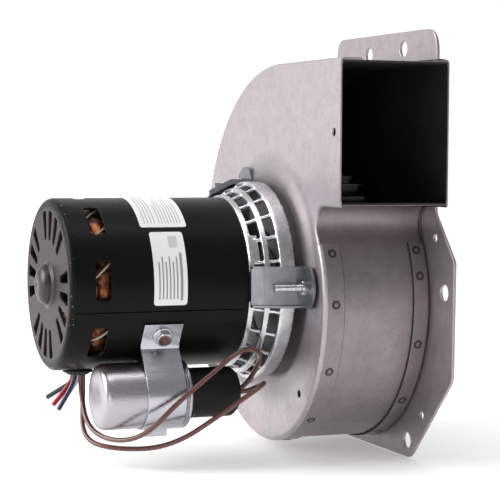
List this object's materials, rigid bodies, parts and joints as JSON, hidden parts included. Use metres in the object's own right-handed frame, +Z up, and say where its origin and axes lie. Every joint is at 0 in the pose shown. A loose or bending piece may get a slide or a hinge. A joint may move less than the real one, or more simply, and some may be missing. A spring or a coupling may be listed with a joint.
{
  "type": "combustion fan",
  "caption": "Draft blower with a sheet-metal scroll, side outlet duct, flat mounting plate, and a vented motor on bracket legs with a strapped capacitor and short leads.",
  "frame": {"origin": "on the motor axis, at the rear face of the mounting plate", "axes": "+X out of the duct outlet, +Y along the motor axis away from the motor, +Z up"},
  "size_m": [0.202, 0.1794, 0.2122],
  "materials": {
    "sheet_steel": "satin aluminised sheet steel, pinkish grey",
    "band_steel": "satin aluminised sheet steel, brownish grey",
    "plate_steel": "satin aluminised sheet steel",
    "zinc_steel": "bright zinc plating with a cool tint",
    "cast_aluminium": "die-cast, satin",
    "black_paint": "semi-gloss black paint",
    "bell_grey": "dark grey satin",
    "lamination": "stacked electrical steel",
    "copper_wire": "enamelled copper wire",
    "protector_case": "matt",
    "bearing_bronze": "sintered bronze",
    "felt": "oiled felt",
    "spring_steel": "satin",
    "label_paper": "white film, plain",
    "black_rubber": "matt black",
    "fibre": "grey fibre board",
    "can_aluminium": "bright drawn aluminium",
    "film_roll": "wound film",
    "lid_resin": "moulded resin",
    "strap_metal": "bright plated spring steel",
    "boot_black": "moulded black",
    "wire_brown": "glossy insulation",
    "wire_green": "glossy insulation",
    "wire_red": "glossy insulation",
    "wire_white": "glossy insulation",
    "wire_blue": "glossy insulation",
    "shaft_steel": "ground steel",
    "fan_aluminium": "pressed sheet",
    "impeller_steel": "aluminised sheet steel"
  },
  "bodies": {
    "housing": {"front_side_plate": "sheet_steel", "scroll_band": "band_steel", "rear_side_plate": "band_steel", "mounting_plate": "plate_steel", "shaft_seal": "fibre", "mount_brackets": "zinc_steel", "mount_screws": "zinc_steel", "mount_nuts": "zinc_steel", "front_end_shield": "cast_aluminium", "motor_shell": "black_paint", "rear_end_bell": "bell_grey", "stator_core": "lamination", "stator_windings": "copper_wire", "thermal_protector": "protector_case", "rear_bearing": "bearing_bronze", "front_bearing": "bearing_bronze", "rear_oil_felt": "felt", "front_oil_felt": "felt", "rear_bearing_retainer": "spring_steel", "front_bearing_retainer": "spring_steel", "rating_label": "label_paper", "wiring_label": "label_paper", "lead_grommet": "black_rubber", "capacitor_can": "can_aluminium", "capacitor_core": "film_roll", "capacitor_lid": "lid_resin", "capacitor_terminals": "zinc_steel", "capacitor_boot": "boot_black", "capacitor_strap": "strap_metal", "strap_screw": "zinc_steel", "capacitor_wire_a": "wire_brown", "capacitor_wire_b": "wire_brown", "lead_green": "wire_green", "lead_red": "wire_red", "lead_white": "wire_white", "lead_blue": "wire_blue"},
    "rotor": {"shaft": "shaft_steel", "rotor_core": "lamination", "rotor_end_rings": "fan_aluminium", "thrust_washers": "fibre", "retaining_clips": "spring_steel", "cooling_fan": "fan_aluminium", "fan_hub": "cast_aluminium", "impeller_hub": "shaft_steel", "impeller_back_disc": "impeller_steel", "impeller_blades": "impeller_steel", "impeller_rim": "impeller_steel", "hub_set_screw": "spring_steel"}
  },
  "joints": [
    {"name": "rotor_spin", "type": "hinge", "parent": "housing", "child": "rotor", "pos_m": [0, -0.1, 0], "axis": [0, 1, 0], "continuous": true}
  ]
}
